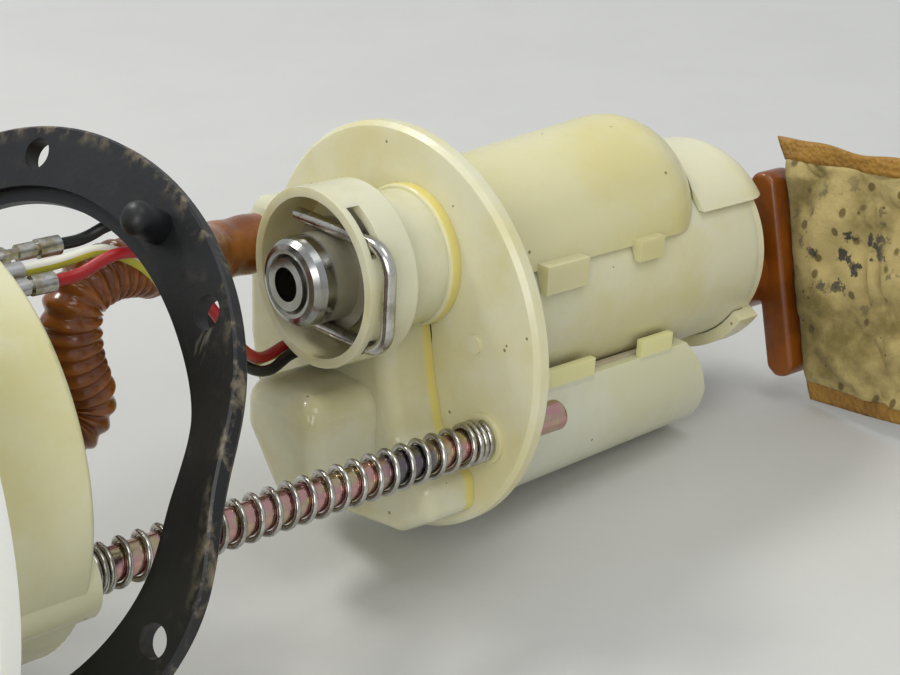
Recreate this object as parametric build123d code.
from build123d import *
import math
import os

os.makedirs("parts", exist_ok=True)

# A fuel pump module that lies on its side. X runs along the module from the tank flange to the
# strainer, Z is up, and the origin is the centre of the flange's seating face. Millimetres.

# Flange: the disc that is bolted to the tank, with the skirt that plugs the tank's opening
flange_r = 56.0
flange_t = 4.0
bolt_circle_r = flange_r - 5.0
bolt_hole_r = 2.8
bolt_count = 6
first_bolt_deg = 71.0
skirt_r = 37.0
skirt_wall = 2.4
skirt_len = 24.0
skirt_rib_t = 1.6
seal_bead_h = 0.6

# Guide rod and its spring
rod_y, rod_z = -27.9, -13.3
rod_r = 3.0
rod_root_x = 3.0
rod_boss_r = 7.0
rod_boss_proud = 2.2
running_gap = 0.05
wire_r = 0.55
coil_gap = 0.15
spring_pitch = 3.75
closed_turns = 3
closed_pitch = 1.25
seat_gap = 0.05
rod_tail = 19.3
nut_r = 6.4
nut_t = 0.6

# Carrier: the disc that slides on the rod, and the pump holder behind it
plate_x = 114.0
plate_r = 40.2
plate_t = 3.0
pump_y, pump_z = 4.0, 0.0
holder_r = 21.5
holder_wall = 1.7
holder_len = 87.0
guide_boss_r = 5.0
guide_boss_len = 1.5
spring_seat_r = 4.9
spring_seat_h = 1.0

# Front cover: the welded moulding between the carrier and the flange
body_depth = 12.0
cover_wall = 2.0
lobe_depth = 16.0
cup_y, cup_z = -5.0, 16.5
cup_r = 16.8
cup_wall = 1.8
cup_rim = 24.2
cup_back = 13.7
cup_floor_t = 2.0
neck_r = 13.0
collar_proud = 0.8
collar_depth = 2.5

# Pressure regulator and the bent wire clip that holds it in the cup
regulator_r = 8.35
regulator_proud = 5.5
regulator_bore_r = 3.2
clip_r = 1.3
clip_x = 21.3
clip_reach = 12.0
clip_bend_r = 5.0

# Covers of the two filter chambers
chamber_wall = 1.8
top_r = 20.0
top_y, top_z = 4.5, 7.4
top_rise = 5.6
top_len = 74.5
top_edge_z = 11.3
top_round = 14.0
low_r = 18.3
low_r_end = 16.8
low_y, low_z = -2.6, -22.2
low_rise = 1.0
low_len = 73.0
low_edge_z = -13.2
tab_t = 1.5
low_tab_h = 3.8
top_tabs = ((0.28, 0.435, 4.4), (0.645, 0.74, 3.0))
low_tabs = ((0.247, 0.493), (0.692, 0.822))
fit_gap = 0.25

# End cap, strainer fitting and strainer bag
cap_disc_t = 3.0
hood_r = 23.0
hood_start = 74.0
hood_end = 99.5
hood_round = 10.0
hood_edge_z = 14.0
lip_r = 24.4
lip_depth = 6.0
lip_from_deg, lip_to_deg = -149.0, -75.0
port_y, port_z = -3.0, -8.0
port_r = 9.0
bar_x = 102.0
bar_depth = 8.5
bar_len = 47.0
bar_w = 7.4
bar_y, bar_z = -12.0, -6.7
bar_lean_deg = 15.3
sock_len = 76.0
sock_h = 50.5
sock_z = -5.3
sock_rise_deg = 6.3
sock_x = 107.0
sock_t = 8.0
seam_h = 4.1
seam_t = 1.0

# Pump unit, hidden in the holder
pump_r = 19.0
shell_wall = 1.4
pump_x0 = 12.0
shell_len = 60.0
shaft_r = 1.6
armature_r = 11.4
armature_len = 30.0
magnet_t = 3.6
air_gap = 0.6
commutator_r = 5.5
commutator_len = 8.0
impeller_r = 15.0
impeller_t = 3.0
bush_r = 3.6
bush_len = 4.0
end_cap_t = 8.0

# Hose and leads between the flange and the module
nipple_r = 4.5
nipple_len = 14.0
nipple_bore_r = 3.2
hose_r = 5.7
hose_bore_r = 4.6
hose_flange_y, hose_flange_z = 5.0, -6.0
hose_module_y, hose_module_z = 22.0, 14.2
lead_r = 1.05
blade_w, blade_t = 2.8, 0.8
black_y, black_z, black_end = 5.8, 28.6, 44.2
earth_y, earth_z, earth_end = 0.6, 27.5, 34.0
red_y, red_z, red_end = -3.8, 26.4, 37.4
lead_rows = ((black_y, black_z, black_end), (earth_y, earth_z, earth_end), (red_y, red_z, red_end))
crimp_r = 1.7
crimp_len = 9.0
receptacle_w, receptacle_h, receptacle_len = 3.8, 2.3, 10.0
plug_depth = 3.0

# Gasket: it has slipped off its seat and leans on the skirt
gasket_r = 56.0
gasket_w = 13.1
gasket_bore_r = gasket_r - gasket_w
gasket_t = 3.2
gasket_lip_w = 2.4
gasket_lip_t = 1.7
gasket_x, gasket_y, gasket_z = 28.7, 4.5, -4.7
gasket_lean_deg = 27.4
gasket_turn_deg = 9.3
gasket_roll_deg = 6.5
peg_r = 2.9
peg_len = 7.5
peg_circle_r = gasket_r - 6.5
peg_deg = 109.5


def disc(r, x0, x1, y=0.0, z=0.0):
    """A round solid along X, from x0 to x1."""
    return extrude(Plane.YZ.offset(x0) * Pos(y, z) * Circle(r), amount=x1 - x0)


def ring(r_out, r_in, x0, x1, y=0.0, z=0.0):
    """A tube along X, from x0 to x1."""
    face = Pos(y, z) * (Circle(r_out) - Circle(r_in))
    return extrude(Plane.YZ.offset(x0) * face, amount=x1 - x0)


def block(x0, x1, y0, y1, z0, z1):
    """A straight box between two corners."""
    size = (x1 - x0, y1 - y0, z1 - z0)
    return Pos((x0 + x1) / 2, (y0 + y1) / 2, (z0 + z1) / 2) * Box(*size)


def prism(points, x0, x1, corner_r=0.0):
    """An outline in Y and Z pushed along X, with rounded corners."""
    face = make_face(Polyline(*points, close=True))
    if corner_r:
        face = fillet(face.vertices(), corner_r)
    return extrude(Plane.YZ.offset(x0) * face, amount=x1 - x0)


def front_edges(solid, x):
    """The edges that lie flat in the plane at x."""
    return [e for e in solid.edges() if abs(e.bounding_box().min.X - x) < 1e-3
            and abs(e.bounding_box().max.X - x) < 1e-3]


def polar(r, deg):
    """Y and Z of a point on a circle about the module's axis."""
    return r * math.cos(math.radians(deg)), r * math.sin(math.radians(deg))


def tube_route(points):
    """Straight runs joined by arcs that are as large as the runs allow."""
    pts = [Vector(*p) for p in points]
    radii = []
    for a, b, c in zip(pts, pts[1:], pts[2:]):
        turn = math.radians((b - a).get_angle(c - b))
        shorter = min((b - a).length, (c - b).length)
        radii.append(0.45 * shorter / math.tan(turn / 2))
    print("route radii", [round(r, 1) for r in radii])
    return FilletPolyline(*pts, radius=radii)


def swept(points, r, bore=0.0):
    path = tube_route(points)
    start = Plane(origin=path @ 0, z_dir=path % 0)
    solid = sweep(start * Circle(r), path=path)
    if bore:
        solid -= sweep(start * Circle(bore), path=path)
    print("tube length", round(path.length, 1), "volume ratio",
          round(solid.volume / (math.pi * (r * r - bore * bore) * path.length), 4))
    return solid


def save(name, *solids):
    """Write one node. Several solids in it stay separate."""
    shape = solids[0] if len(solids) == 1 else Compound(children=list(solids))
    export_step(shape, f"parts/{name}.step")


# Places that several pieces share
clip_x_cad = plate_x - clip_x
clip_top = cup_z + regulator_r + clip_r + 0.05
clip_low = cup_z - regulator_r - clip_r - 0.05
cup_rim_x = plate_x - cup_rim
cup_back_x = plate_x - cup_back
body_x = plate_x - body_depth
holder_x0 = plate_x + plate_t
holder_x1 = holder_x0 + holder_len
boss_face_x = skirt_len + rod_boss_proud
rod_end_x = plate_x + rod_tail
nut_x = plate_x + plate_t + guide_boss_len + fit_gap
block_end_x = earth_end - crimp_len - receptacle_len - 1.0
bolt_angles = [first_bolt_deg + 360.0 / bolt_count * i for i in range(bolt_count)]
# A length that reaches past every piece, for cutting tools
beyond = 1.1 * flange_r


def make_flange():
    """The moulded disc with its skirt, rod socket, hose nipple and connector shell."""
    part = disc(flange_r, -flange_t, 0)
    part = chamfer(front_edges(part, -flange_t), 0.8)
    part += ring(flange_r - 8.1, flange_r - 8.9, 0, seal_bead_h)
    skirt = ring(skirt_r, skirt_r - skirt_wall, 0, skirt_len)
    skirt = fillet(front_edges(skirt, skirt_len), skirt_wall * 0.45)
    part += skirt
    part += disc(rod_boss_r, 0, boss_face_x, rod_y, rod_z)
    # Ribs stiffen the skirt where it meets the disc
    rib_len = skirt_r - skirt_wall / 2
    for deg in (0.0, 120.0, 240.0):
        rib = block(0, skirt_len - 8.0, 17.0, rib_len, -skirt_rib_t / 2, skirt_rib_t / 2)
        part += Rot(math.degrees(math.atan2(rod_z, rod_y)) + 150 + deg, 0, 0) * rib
    # Nipples on both faces, with one bore through the disc
    part += barbed_nipple(hose_flange_y, hose_flange_z, 0, 1)
    part += barbed_nipple(hose_flange_y, hose_flange_z, -flange_t, -1)
    # Terminal block inside, connector shell outside
    mid_y, mid_z = earth_y, earth_z
    part += block(0, block_end_x, mid_y - 8.5, mid_y + 8.5, mid_z - 5.5, mid_z + 5.0)
    shell = block(-flange_t - 16.0, -flange_t, mid_y - 11.5, mid_y + 11.5, mid_z - 8.0, mid_z + 8.0)
    shell = fillet(shell.edges().filter_by(Axis.X), 3.0)
    hollow = block(-flange_t - 16.0, -flange_t - 1.5, mid_y - 9.7, mid_y + 9.7, mid_z - 6.2, mid_z + 6.2)
    hollow = fillet(hollow.edges().filter_by(Axis.X), 1.6)
    part += shell
    part += block(-flange_t - 9.0, -flange_t, mid_y - 2.5, mid_y + 2.5, mid_z + 7.5, mid_z + 10.5)
    part -= hollow
    for y, z, end in lead_rows:
        part -= block(-flange_t - 20.0, block_end_x + 1, y - blade_w / 2, y + blade_w / 2,
                      z - blade_t / 2, z + blade_t / 2)
    part -= disc(nipple_bore_r, -flange_t - nipple_len - 5, nipple_len + 5, hose_flange_y, hose_flange_z)
    part -= disc(rod_r, rod_root_x, boss_face_x + 1, rod_y, rod_z)
    for deg in bolt_angles:
        part -= disc(bolt_hole_r, -flange_t - 1, 1, *polar(bolt_circle_r, deg))
    part -= disc(peg_r + fit_gap, -flange_t - 1, 1, *polar(peg_circle_r, peg_deg))
    return part


def barbed_nipple(y, z, x, way):
    """A hose nipple with two saw-tooth barbs, pointing along way."""
    tip = nipple_len
    profile = [(0, 0), (0, nipple_r + 1.6), (1.6, nipple_r + 1.6), (1.6, nipple_r - 0.35)]
    for start in (tip - 7.0, tip - 3.5):
        profile += [(start, nipple_r - 0.35), (start, nipple_r), (start + 2.6, nipple_r - 0.35)]
    profile += [(tip, nipple_r - 0.9), (tip, 0)]
    face = make_face(Polyline(*[(x + way * a, b) for a, b in profile], close=True))
    solid = revolve(Plane.XY * face, axis=Axis.X)
    return Pos(0, y, z) * solid


def make_gasket():
    """The rubber ring with its locating peg, tipped off the flange's seat."""
    half = gasket_t / 2
    profile = Polyline((half, gasket_bore_r), (half, gasket_r - 0.9), (half - 0.9, gasket_r),
                       (0.4 - half, gasket_r), (-half, gasket_r - 0.4),
                       (-half, gasket_bore_r + gasket_lip_w), (half - gasket_lip_t, gasket_bore_r + gasket_lip_w),
                       (half - gasket_lip_t, gasket_bore_r), close=True)
    body = revolve(Plane.XY * make_face(profile), axis=Axis.X)
    for deg in bolt_angles:
        body -= disc(bolt_hole_r, -half - 1, half + 1, *polar(bolt_circle_r, deg))
    peg_y, peg_z = polar(peg_circle_r, peg_deg)
    peg = disc(peg_r, -half - peg_len, -half, peg_y, peg_z)
    body += fillet(front_edges(peg, -half - peg_len), peg_r * 0.8)
    place = Pos(gasket_x, gasket_y, gasket_z) * Rot(0, 0, gasket_turn_deg) * Rot(0, gasket_lean_deg, 0)
    return place * Rot(gasket_roll_deg, 0, 0) * body


def make_rod():
    """The plated guide rod with a rounded tip."""
    rod = disc(rod_r, rod_root_x, rod_end_x, rod_y, rod_z)
    return fillet(front_edges(rod, rod_end_x), 0.9)


def make_push_nut():
    """The thin spring washer that grips the rod, so that the carrier can't leave it."""
    washer = ring(nut_r, rod_r, 0, nut_t)
    for i in range(5):
        notch = block(-1, nut_t + 1, rod_r - 0.5, rod_r + 1.6, -0.5, 0.5)
        washer -= Rot(72.0 * i, 0, 0) * notch
    return Pos(nut_x, rod_y, rod_z) * washer


def make_spring():
    """An open coil with closed turns at both ends."""
    mean_r = rod_r + coil_gap + wire_r
    x0 = boss_face_x + seat_gap + wire_r
    x1 = plate_x - spring_seat_h - seat_gap - wire_r
    end_h = closed_turns * closed_pitch
    open_h = x1 - x0 - 2 * end_h
    turns = round(open_h / spring_pitch)
    pieces = []
    at = x0
    angle = 0.0
    for height, count in ((end_h, closed_turns), (open_h, turns), (end_h, closed_turns)):
        helix = Helix(pitch=height / count, height=height, radius=mean_r)
        profile = Plane(origin=helix @ 0, z_dir=helix % 0) * RegularPolygon(wire_r, 6)
        coil = sweep(profile, path=helix, is_frenet=True)
        pieces.append(Pos(at, rod_y, rod_z) * Rot(0, 90, 0) * Rot(0, 0, angle) * coil)
        at += height
    return pieces


def make_carrier():
    """The sliding disc, the pump holder behind it and the rod guide."""
    part = disc(plate_r, plate_x, holder_x0)
    part = chamfer(front_edges(part, plate_x), 0.9)
    part += ring(holder_r, holder_r - holder_wall, holder_x0, holder_x1, pump_y, pump_z)
    part += disc(guide_boss_r, holder_x0, holder_x0 + guide_boss_len, rod_y, rod_z)
    part += disc(spring_seat_r, plate_x - spring_seat_h, plate_x, rod_y, rod_z)
    # Small moulded bump on the face
    part += disc(1.8, plate_x - 0.6, plate_x, -23.7, 4.2)
    # The pump stops against a shoulder, and its outlet passes through it
    part -= disc(holder_r - holder_wall - 4.0, plate_x - 1, holder_x0 + 1, pump_y, pump_z)
    # Windows let fuel out into the filter chambers
    for deg, x in ((90, 12.0), (90, 42.0), (250, 20.0), (250, 46.0)):
        window = block(holder_x0 + x, holder_x0 + x + 14.0, holder_r - 4.0, holder_r + 4.0, -3.5, 3.5)
        part -= Pos(0, pump_y, pump_z) * Rot(deg, 0, 0) * window
    part -= disc(rod_r + running_gap, plate_x - 5, holder_x0 + guide_boss_len + 5, rod_y, rod_z)
    return part


body_outline = [(-10, 8), (-13.5, -7), (-16, -15), (-25.5, -22.5), (-26, -28.5), (-17, -34.5),
                (-1, -36.8), (14, -33.5), (27, -24), (31, -8), (31.5, 8), (34.5, 14), (30, 20.5), (10, 26)]
lobe_outline = [(-10.5, -6.8), (11, -6.8), (11, -17), (0, -30), (-10.5, -31)]


def make_front_cover():
    """The hollow moulding welded to the carrier, with the regulator cup and the hose nipple."""
    body = prism(body_outline, body_x, plate_x, 3.5)
    body = fillet(front_edges(body, body_x), 3.2)
    lobe = prism(lobe_outline, body_x - lobe_depth, body_x + 4.0, 5.0)
    lobe = fillet(front_edges(lobe, body_x - lobe_depth), 4.6)
    collar = disc(neck_r + collar_proud, plate_x - collar_depth, plate_x, cup_y, cup_z)
    collar = fillet(front_edges(collar, plate_x - collar_depth), 0.6)
    neck = disc(neck_r, cup_back_x, plate_x, cup_y, cup_z)
    cup = disc(cup_r, cup_rim_x, cup_back_x + 1.0, cup_y, cup_z)
    cup = fillet(front_edges(cup, cup_back_x + 1.0), 0.8)
    part = body + lobe + collar + neck + cup
    part += barbed_nipple(hose_module_y, hose_module_z, body_x, -1)
    # Inside spaces, one wall thickness in from the outer forms
    inner = offset(make_face(Polyline(*body_outline, close=True)), -cover_wall)
    part -= extrude(Plane.YZ.offset(body_x + cover_wall) * inner, amount=body_depth)
    inner = offset(make_face(Polyline(*lobe_outline, close=True)), -cover_wall - 0.6)
    part -= extrude(Plane.YZ.offset(body_x - lobe_depth + cover_wall + 0.4) * inner, amount=lobe_depth + 4.0)
    part -= disc(neck_r - cup_wall, cup_back_x + cup_floor_t, plate_x + 1, cup_y, cup_z)
    part -= disc(cup_r - cup_wall, cup_rim_x - 1, cup_back_x, cup_y, cup_z)
    part -= disc(regulator_bore_r + 2.2, cup_back_x - 1, cup_back_x + cup_floor_t + 1, cup_y, cup_z)
    part -= disc(nipple_bore_r, body_x - nipple_len - 1, body_x + 3, hose_module_y, hose_module_z)
    # Two slots in the cup wall take the legs of the clip; the upper one is longer
    x = plate_x - clip_x
    half = clip_r + 0.12
    bend_room = 0.6
    for z0, z1 in ((clip_top - half - bend_room, clip_top + 5.4), (clip_low - half, clip_low + half + bend_room)):
        part -= block(x - half, x + half, cup_y - cup_r - 2, cup_y - 5.0, z0, z1)
    return part


def make_regulator():
    """The pressed steel can of the regulator: rolled front rim, collar round the outlet, inlet stub."""
    x0 = cup_rim_x - regulator_proud
    x1 = cup_back_x - 0.3
    r = regulator_r
    step = clip_x_cad + clip_r + 0.05
    stub_r = regulator_bore_r + 1.0
    outer = [(x0 + 0.8, 0), (x0 + 0.8, 4.8), (x0 + 0.1, 5.6), (x0, 6.3), (x0 + 0.4, 7.3), (x0 + 1.4, 8.05),
             (x0 + 2.8, r), (step, r), (step, r + 2.2), (step + 1.2, r + 2.2), (step + 1.2, r), (x1 - 0.6, r),
             (x1, r - 0.6), (x1, stub_r), (x1 + 2.2, stub_r), (x1 + 2.6, stub_r - 0.5), (x1 + 2.6, 0)]
    can = revolve(Plane.XY * make_face(Polyline(*outer, close=True)), axis=Axis.X)
    can = Pos(0, cup_y, cup_z) * can
    can += ring(4.9, regulator_bore_r, x0 - 0.4, x0 + 2.0, cup_y, cup_z)
    can -= disc(regulator_bore_r, x0 - 1.0, x0 + 7.0, cup_y, cup_z)
    can -= disc(regulator_bore_r - 1.0, x1 - 1.5, x1 + 3.0, cup_y, cup_z)
    return can


def make_clip():
    """One bent wire: a straight back outside the cup and two legs across the regulator."""
    x = clip_x_cad
    back_y = cup_y - cup_r - clip_r - 0.1
    far_y = cup_y + clip_reach - 4.0
    corners = [(x, far_y, clip_top), (x, back_y, clip_top), (x, back_y, clip_low), (x, far_y, clip_low)]
    path = FilletPolyline(*corners, radius=clip_bend_r)
    return sweep(Plane(origin=path @ 0, z_dir=path % 0) * Circle(clip_r), path=path)


def tapered_bar(r0, r1, x0, x1, y, z0, z1):
    """A round bar along X whose radius and height change evenly from end to end."""
    ends = [Plane.YZ.offset(x) * Pos(y, z) * Circle(r) for x, z, r in ((x0, z0, r0), (x1, z1, r1))]
    return loft(ends)


def top_form(inset, x0, x1, end_round):
    """The upper chamber's form, one inset in from the outside, with a rounded end."""
    slope = top_rise / top_len
    start = holder_x0
    bar = tapered_bar(top_r - inset, top_r - inset, x0, x1, top_y,
                      top_z + slope * (x0 - start), top_z + slope * (x1 - start))
    return fillet(front_edges(bar, x1), end_round)


def make_top_cover():
    """The arched cover of the upper chamber, with a rounded end and four snap tabs."""
    x0, x1 = holder_x0, holder_x0 + top_len
    # The space above the holder that the cover may fill
    space = block(x0, x1 + 1, -beyond, beyond, top_edge_z, beyond)
    space -= disc(holder_r + fit_gap, x0 - 1, x1 + 2, pump_y, pump_z)
    part = top_form(0, x0, x1, top_round) & space
    part -= top_form(chamber_wall, x0 - 1, x1 - chamber_wall, top_round - chamber_wall)
    for a, b, drop in top_tabs:
        reach = math.sqrt((holder_r + fit_gap) ** 2 - (top_edge_z - drop) ** 2)
        for side in (-1, 1):
            y0, y1 = sorted((pump_y + side * (reach - 2.0), pump_y + side * (reach + tab_t)))
            tab = block(x0 + a * top_len, x0 + b * top_len, y0, y1, top_edge_z - drop, top_edge_z + 1.5)
            part += tab - disc(holder_r + fit_gap, x0, x1, pump_y, pump_z)
    return part


def low_form(inset, x1):
    """The lower chamber's form with its raked end."""
    start = holder_x0
    slope = low_rise / low_len
    shrink = (low_r_end - low_r) / low_len
    x0 = start - 0.5
    bar = tapered_bar(low_r - inset, low_r_end - inset, x0, x1 + 8, low_y,
                      low_z - slope * 0.5, low_z + slope * (x1 + 8 - start))
    rake = [(x0, low_edge_z + 12), (x1 - 12.5, low_edge_z + 12), (x1 - 9.0, low_edge_z + 2), (x1 - 4.6, low_edge_z - 4.4),
            (x1 - 1.6, low_edge_z - 12.0), (x1, low_edge_z - 20.0), (x1, -beyond), (x0, -beyond)]
    return bar & extrude(Plane.XZ * make_face(Polyline(*rake, close=True)), amount=beyond, both=True)


def make_lower_cover():
    """The half-round cover of the lower chamber, closed by an end wall, with snap tabs."""
    x0, x1 = holder_x0, holder_x0 + low_len
    space = block(x0, x1 + 1, -beyond, beyond, -beyond, low_edge_z)
    space -= disc(holder_r + fit_gap, x0 - 1, x1 + 2, pump_y, pump_z)
    part = (low_form(0, x1) & space) - low_form(chamber_wall, x1 - chamber_wall)
    for a, b in low_tabs:
        mid = (a + b) / 2
        r = low_r + (low_r_end - low_r) * mid
        z = low_z + low_rise * mid
        edge_y = low_y - math.sqrt(r ** 2 - (low_edge_z - z) ** 2)
        part += block(x0 + a * low_len, x0 + b * low_len, edge_y - 0.5, edge_y + tab_t - 0.5,
                      low_edge_z - 1.6, low_edge_z + low_tab_h)
    return part


def make_filter_element(bar, edge_z):
    """Filter paper that fills the crescent between a cover and the pump holder."""
    box = bar.bounding_box()
    bar -= disc(holder_r + 0.6, box.min.X - 1, box.max.X + 1, pump_y, pump_z)
    if edge_z > 0:
        return bar & block(box.min.X, box.max.X, -beyond, beyond, edge_z, beyond)
    return bar & block(box.min.X, box.max.X, -beyond, beyond, -beyond, edge_z)


def make_end_cap():
    """The disc that closes the holder, with a hood over the holder's top and a lip below it."""
    x0 = holder_x1
    part = disc(holder_r, x0, x0 + cap_disc_t, pump_y, pump_z)
    part = chamfer(front_edges(part, x0 + cap_disc_t), 1.0)
    start, end = plate_x + hood_start, plate_x + hood_end
    hood = disc(hood_r, start, end, pump_y, pump_z)
    hood = fillet(front_edges(hood, end), hood_round)
    hood -= disc(holder_r + fit_gap, start - 1, x0 + 0.01, pump_y, pump_z)
    hood &= block(start, end, -beyond, beyond, pump_z + hood_edge_z, beyond)
    hood -= top_form(-fit_gap, holder_x0, holder_x0 + top_len + fit_gap, top_round)
    part += hood
    # The lip is the part of a ring between two angles
    lip = ring(lip_r, holder_r + fit_gap, x0 - lip_depth + cap_disc_t, x0 + cap_disc_t, pump_y, pump_z)
    lip += ring(lip_r - 1.0, holder_r - 2.0, x0 + 0.5, x0 + cap_disc_t, pump_y, pump_z)
    corners = [polar(2 * lip_r, lip_from_deg), polar(2 * lip_r, (lip_from_deg + lip_to_deg) / 2),
               polar(2 * lip_r, lip_to_deg)]
    wedge = prism([(0, 0)] + corners, x0 - lip_depth, x0 + lip_depth)
    part += lip & (Pos(0, pump_y, pump_z) * wedge)
    part -= disc(port_r + fit_gap, x0 - 1, x0 + cap_disc_t + 1, port_y, port_z)
    return part


def make_strainer_fitting():
    """The brown moulding: a port over the pump inlet and a chamfered bar that the bag is welded to."""
    x0, x1 = plate_x + bar_x, plate_x + bar_x + bar_depth
    bar = block(x0, x1, -bar_w / 2, bar_w / 2, -bar_len / 2, bar_len / 2)
    bar = chamfer(bar.edges().filter_by(Axis.X), 2.2)
    bar = chamfer(front_edges(bar, x0), 1.2)
    part = Pos(0, bar_y, bar_z) * Rot(-bar_lean_deg, 0, 0) * bar
    part += disc(port_r, pump_inlet_x + 0.5, x0 + 5.0, port_y, port_z)
    part -= disc(inlet_r + running_gap, pump_inlet_x, x0 + 3.0, port_y, port_z)
    # The passage turns from the port into the bar
    part -= block(x0 + 1.5, x0 + 4.0, bar_y - 2.0, port_y, port_z - 4.0, port_z + 4.0)
    return part


def sock_outline(grow):
    """Corners of the bag in Y and Z; grow moves the long edges out."""
    lean = math.tan(math.radians(bar_lean_deg))
    rise = sock_len * math.tan(math.radians(sock_rise_deg))
    side = bar_w / 2 / math.cos(math.radians(bar_lean_deg)) + 0.3
    z_top, z_low = sock_z + sock_h / 2 + grow, sock_z - sock_h / 2 - grow
    y_top, y_low = [bar_y + lean * (z - bar_z) - side for z in (z_top, z_low)]
    return [(y_top, z_top), (y_low, z_low), (y_low - sock_len, z_low + rise), (y_top - sock_len, z_top + rise)]


def make_sock():
    """The strainer bag: a flat pillow that stands on edge beside the pump's end."""
    mid = plate_x + sock_x
    pts = sock_outline(0)
    inset = [(pts[0][0] - 1, pts[0][1] - 4), (pts[1][0] - 1, pts[1][1] + 4),
             (pts[2][0] + 6, pts[2][1] + 4), (pts[3][0] + 6, pts[3][1] - 4)]

    def face(points, x):
        return Plane.YZ.offset(x) * make_face(Polyline(*points, close=True))
    half = sock_t / 2
    part = loft([face(inset, mid - half), face(pts, mid - 0.6)])
    part += loft([face(pts, mid + 0.6), face(inset, mid + half)])
    part += extrude(face(pts, mid - 0.6), amount=1.2)
    return part


def make_sock_seams():
    """The two welded edge strips of the bag, above and below it."""
    mid = plate_x + sock_x
    inner, outer = sock_outline(0), sock_outline(seam_h)
    strips = []
    for a, b in ((0, 3), (1, 2)):
        pts = [inner[a], outer[a], outer[b], inner[b]]
        strips.append(prism(pts, mid - seam_t / 2, mid + seam_t / 2))
    return strips


# The pump unit, from its outlet end at the carrier to its inlet end at the strainer
pump_x = plate_x + pump_x0
shell_x1 = pump_x + shell_len
chamber_x = shell_x1
inlet_cover_x = chamber_x + impeller_t + 1.0
pump_inlet_x = inlet_cover_x + end_cap_t
inlet_r = 5.0
magnet_r = pump_r - shell_wall
armature_x = pump_x + 18.0
commutator_x = armature_x - commutator_len - 1.0
shaft_x0 = plate_x + 6.0
shaft_x1 = inlet_cover_x + 3.0


def make_pump_shell():
    return ring(pump_r, pump_r - shell_wall, pump_x, shell_x1, pump_y, pump_z)


def make_magnets():
    """Two arc magnets inside the shell."""
    inner = armature_r + air_gap
    tube = ring(magnet_r, inner, armature_x - 3, armature_x + armature_len + 3, pump_y, pump_z)
    split = block(armature_x - 5, armature_x + armature_len + 5, pump_y - 40, pump_y + 40, pump_z - 3, pump_z + 3)
    return list((tube - split).solids())


def make_outlet_cap():
    """The pump's outlet end: brush holder, bearing seat and outlet tube."""
    part = disc(pump_r, holder_x0 + 0.3, pump_x, pump_y, pump_z)
    part = fillet(front_edges(part, holder_x0 + 0.3), 1.5)
    part += disc(magnet_r, pump_x, pump_x + 5.0, pump_y, pump_z)
    part += disc(3.6, plate_x - 3.0, holder_x0 + 1, pump_y + outlet_off, pump_z)
    part -= disc(valve_seat_r, plate_x - 4.0, pump_x + 6.0, pump_y + outlet_off, pump_z)
    part -= disc(valve_bore_r, plate_x - 1.0, plate_x + 3.25, pump_y + outlet_off, pump_z)
    part -= disc(bush_r, pump_x + 5.0 - bush_len, pump_x + 6.0, pump_y, pump_z)
    part -= disc(shaft_r + 0.6, shaft_x0 - 2.0, pump_x + 6.0, pump_y, pump_z)
    return part


outlet_off = 9.5
valve_bore_r = 2.7
valve_seat_r = 1.9
valve_r = 2.45


def make_check_valve():
    """The poppet that keeps fuel from running back: a cone-nosed plug with a slim stem."""
    x = plate_x + 1.0
    profile = [(x, 0), (x, valve_r), (x + 1.2, valve_r), (x + 3.4, 1.2), (x + 7.0, 1.2), (x + 7.0, 0)]
    solid = revolve(Plane.XY * make_face(Polyline(*profile, close=True)), axis=Axis.X)
    return Pos(0, pump_y + outlet_off, pump_z) * solid


def make_bushes():
    ends = (pump_x + 5.0 - bush_len, inlet_cover_x + 0.5)
    return [ring(bush_r, shaft_r + running_gap, x, x + bush_len, pump_y, pump_z) for x in ends]


def make_armature():
    """A slotted iron core with the winding's rounded ends."""
    core = disc(armature_r, armature_x, armature_x + armature_len, pump_y, pump_z)
    for i in range(8):
        slot = block(armature_x - 1, armature_x + armature_len + 1, armature_r - 2.2, armature_r + 1, -0.7, 0.7)
        core -= Pos(0, pump_y, pump_z) * Rot(45.0 * i, 0, 0) * slot
    for x in (armature_x - 0.8, armature_x + armature_len - 3.2):
        core += disc(armature_r - 2.4, x, x + 4.0, pump_y, pump_z)
    return core - disc(shaft_r, armature_x - 5, armature_x + armature_len + 5, pump_y, pump_z)


def make_commutator():
    part = ring(commutator_r, shaft_r, commutator_x, commutator_x + commutator_len, pump_y, pump_z)
    for i in range(8):
        cut = block(commutator_x - 1, commutator_x + commutator_len - 1.5, commutator_r - 0.8, commutator_r + 1,
                    -0.25, 0.25)
        part -= Pos(0, pump_y, pump_z) * Rot(45.0 * i, 0, 0) * cut
    return part


def make_brushes():
    """Two carbon brushes that bear on the commutator."""
    gap = 0.3
    out = []
    for side in (-1, 1):
        z0, z1 = sorted((side * (commutator_r + gap), side * (commutator_r + gap + 6.0)))
        out.append(block(commutator_x + 1, commutator_x + 5.5, pump_y - 2, pump_y + 2, pump_z + z0, pump_z + z1))
    return out


def make_impeller():
    """The side-channel wheel: short vanes cut round its edge."""
    x0 = chamber_x + 0.5
    wheel = ring(impeller_r, shaft_r, x0, x0 + impeller_t, pump_y, pump_z)
    for i in range(24):
        cut = block(x0 - 1, x0 + impeller_t + 1, impeller_r - 2.6, impeller_r - 0.7, -0.8, 0.8)
        wheel -= Pos(0, pump_y, pump_z) * Rot(15.0 * i, 0, 0) * cut
    return wheel


def make_impeller_housing():
    part = disc(pump_r, chamber_x, inlet_cover_x, pump_y, pump_z)
    return part - disc(impeller_r + 0.4, chamber_x, inlet_cover_x + 1, pump_y, pump_z) \
        - disc(shaft_r + 0.6, chamber_x - 1, inlet_cover_x + 1, pump_y, pump_z)


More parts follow.
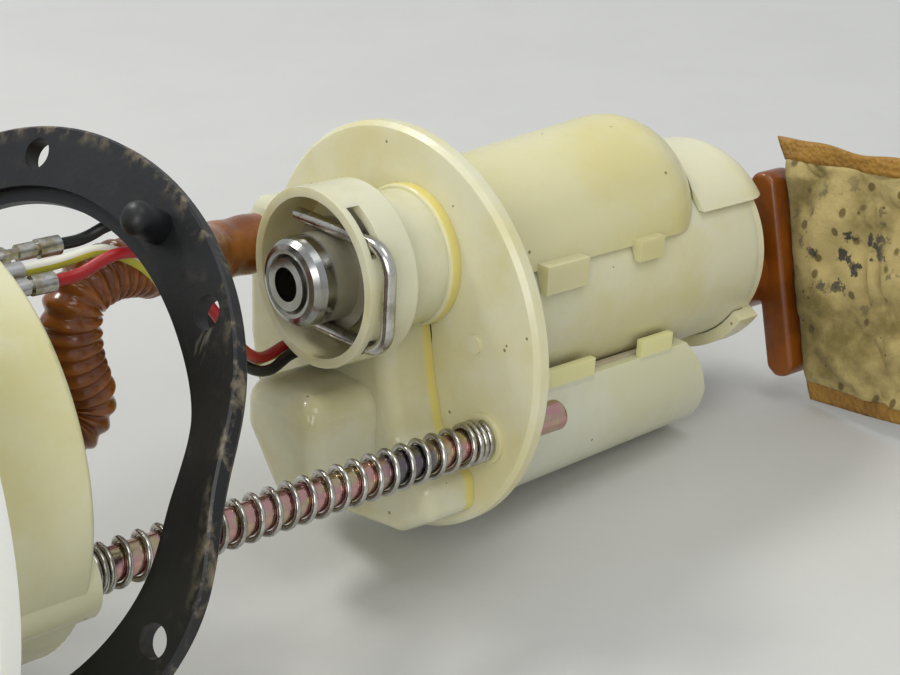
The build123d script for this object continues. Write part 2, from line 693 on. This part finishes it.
def make_inlet_cover():
    """The pump's inlet end with the nipple that the strainer is pushed on."""
    part = disc(pump_r, inlet_cover_x, pump_inlet_x - 3.0, pump_y, pump_z)
    part += disc(inlet_r, pump_inlet_x - 4.0, pump_inlet_x + 7.0, port_y, port_z)
    part = fillet(front_edges(part, pump_inlet_x + 7.0), 0.8)
    part -= disc(inlet_r - 1.5, inlet_cover_x - 1, pump_inlet_x + 8.0, port_y, port_z)
    part -= disc(bush_r, inlet_cover_x - 1, inlet_cover_x + 0.5 + bush_len, pump_y, pump_z)
    return part


def make_shaft():
    return disc(shaft_r, shaft_x0, shaft_x1, pump_y, pump_z)


def make_o_rings():
    """Two seals on the regulator: one under the collar, one on the stub."""
    stub_x = cup_back_x - 0.3
    rings = []
    can_seal = (clip_x_cad + clip_r + 2.2, regulator_r + 0.76, 0.75)
    stub_seal = (stub_x + 1.1, regulator_bore_r + 1.0 + 0.56, 0.55)
    for cx, r, thick in (can_seal, stub_seal):
        torus = Pos(cx, cup_y, cup_z) * Rot(0, 90, 0) * Torus(r, thick)
        rings.append(torus)
    return rings


def make_blades():
    """Three flat terminals through the flange."""
    return [block(-flange_t - 10.5, end - crimp_len - 4.0, y - blade_w / 2, y + blade_w / 2,
                  z - blade_t / 2, z + blade_t / 2) for y, z, end in lead_rows]


def make_crimp(y, z, end):
    """A push-on terminal: folded receptacle, neck and crimped barrel."""
    crimp_start = end - crimp_len
    x0 = crimp_start - receptacle_len
    part = block(x0, crimp_start - 1.0, y - receptacle_w / 2, y + receptacle_w / 2,
                 z - receptacle_h / 2, z + receptacle_h / 2)
    part = fillet(part.edges().filter_by(Axis.X), 0.9)
    part -= block(x0 - 1, crimp_start - 3.5, y - blade_w / 2 - 0.02, y + blade_w / 2 + 0.02,
                  z - blade_t / 2 - 0.02, z + blade_t / 2 + 0.02)
    part += block(crimp_start - 1.5, crimp_start + 1.5, y - 1.0, y + 1.0, z - 0.6, z + 0.6)
    for a, b, r in ((1.0, 4.2, crimp_r - 0.25), (4.8, crimp_len, crimp_r)):
        part += disc(r, crimp_start + a, crimp_start + b, y, z)
    part += disc(crimp_r - 0.6, crimp_start + 4.0, crimp_start + 5.0, y, z)
    return part


def make_lead_plug():
    """The sealed socket on the front cover, under the cup, where the leads go in."""
    part = block(body_x - plug_depth, body_x, 2.6, 10.6, -6.0, 0.4)
    return fillet(part.edges().filter_by(Axis.X), 1.0)


lead_end_x = body_x - plug_depth
lead_routes = {
    "black_lead": [(black_end, black_y, black_z), (49.0, black_y, black_z), (54.0, 3.8, 31.6), (61.0, 2.0, 29.4),
                   (68.2, 0.4, 17.6), (75.0, 0.4, 3.0), (83.8, 0.6, -3.2), (93.0, 4.4, -2.0),
                   (lead_end_x, 4.4, -2.0)],
    "earth_lead": [(earth_end, earth_y, earth_z), (41.0, earth_y, earth_z), (48.5, -1.0, 29.4), (57.0, -2.4, 24.4),
                   (65.0, -0.8, 12.5), (74.0, 4.0, 0.0), (84.0, 6.6, -3.0), (93.0, 8.9, -3.4),
                   (lead_end_x, 8.9, -3.4)],
    "red_lead": [(red_end, red_y, red_z), (41.8, red_y, red_z), (49.4, -4.8, 29.8), (58.5, -6.2, 27.2),
                 (66.0, -7.0, 17.0), (73.5, -6.0, 6.6), (83.5, 1.4, -0.2), (93.5, 6.8, -1.1),
                 (lead_end_x, 6.8, -1.1)],
}
hose_x0 = nipple_len - 10.0
hose_x1 = body_x - nipple_len + 10.0
hose_route = [(hose_x0, hose_flange_y, hose_flange_z), (22.0, hose_flange_y, hose_flange_z), (40.4, 5.0, -7.8),
              (49.6, 4.8, -2.4), (45.2, 4.2, 8.6), (45.6, 4.5, 19.4), (54.0, 6.4, 22.0), (64.2, 9.6, 19.6),
              (75.0, 13.6, 17.7), (hose_x1 - 11.0, hose_module_y, hose_module_z),
              (hose_x1, hose_module_y, hose_module_z)]


def build():
    save("flange", make_flange())
    save("gasket", make_gasket())
    save("guide_rod", make_rod())
    save("push_nut", make_push_nut())
    save("return_spring", *make_spring())
    save("terminal_blades", *make_blades())
    save("crimp_terminals", *[make_crimp(y, z, end) for y, z, end in lead_rows])
    save("carrier", make_carrier())
    save("front_cover", make_front_cover())
    save("regulator", make_regulator())
    save("regulator_seals", *make_o_rings())
    save("regulator_clip", make_clip())
    save("top_cover", make_top_cover())
    save("lower_cover", make_lower_cover())
    start = holder_x0 + 2.0
    upper = top_form(chamber_wall + 0.8, start, holder_x0 + top_len - 4.0, top_round - 3.0)
    save("top_filter", make_filter_element(upper, top_edge_z))
    lower = low_form(chamber_wall + 0.5, holder_x0 + low_len - 6.0) & disc(60, start, holder_x0 + low_len)
    save("lower_filter", make_filter_element(lower, low_edge_z))
    save("end_cap", make_end_cap())
    save("strainer_fitting", make_strainer_fitting())
    save("strainer_bag", make_sock())
    save("bag_seams", *make_sock_seams())
    save("pump_shell", make_pump_shell())
    save("magnets", *make_magnets())
    save("outlet_cap", make_outlet_cap())
    save("check_valve", make_check_valve())
    save("bearing_bushes", *make_bushes())
    save("armature", make_armature())
    save("commutator", make_commutator())
    save("brushes", *make_brushes())
    save("impeller", make_impeller())
    save("impeller_housing", make_impeller_housing())
    save("inlet_cover", make_inlet_cover())
    save("motor_shaft", make_shaft())
    save("lead_plug", make_lead_plug())
    for name, route in lead_routes.items():
        save(name, swept(route, lead_r))
    save("hose", swept(hose_route, hose_r, hose_bore_r))


build()
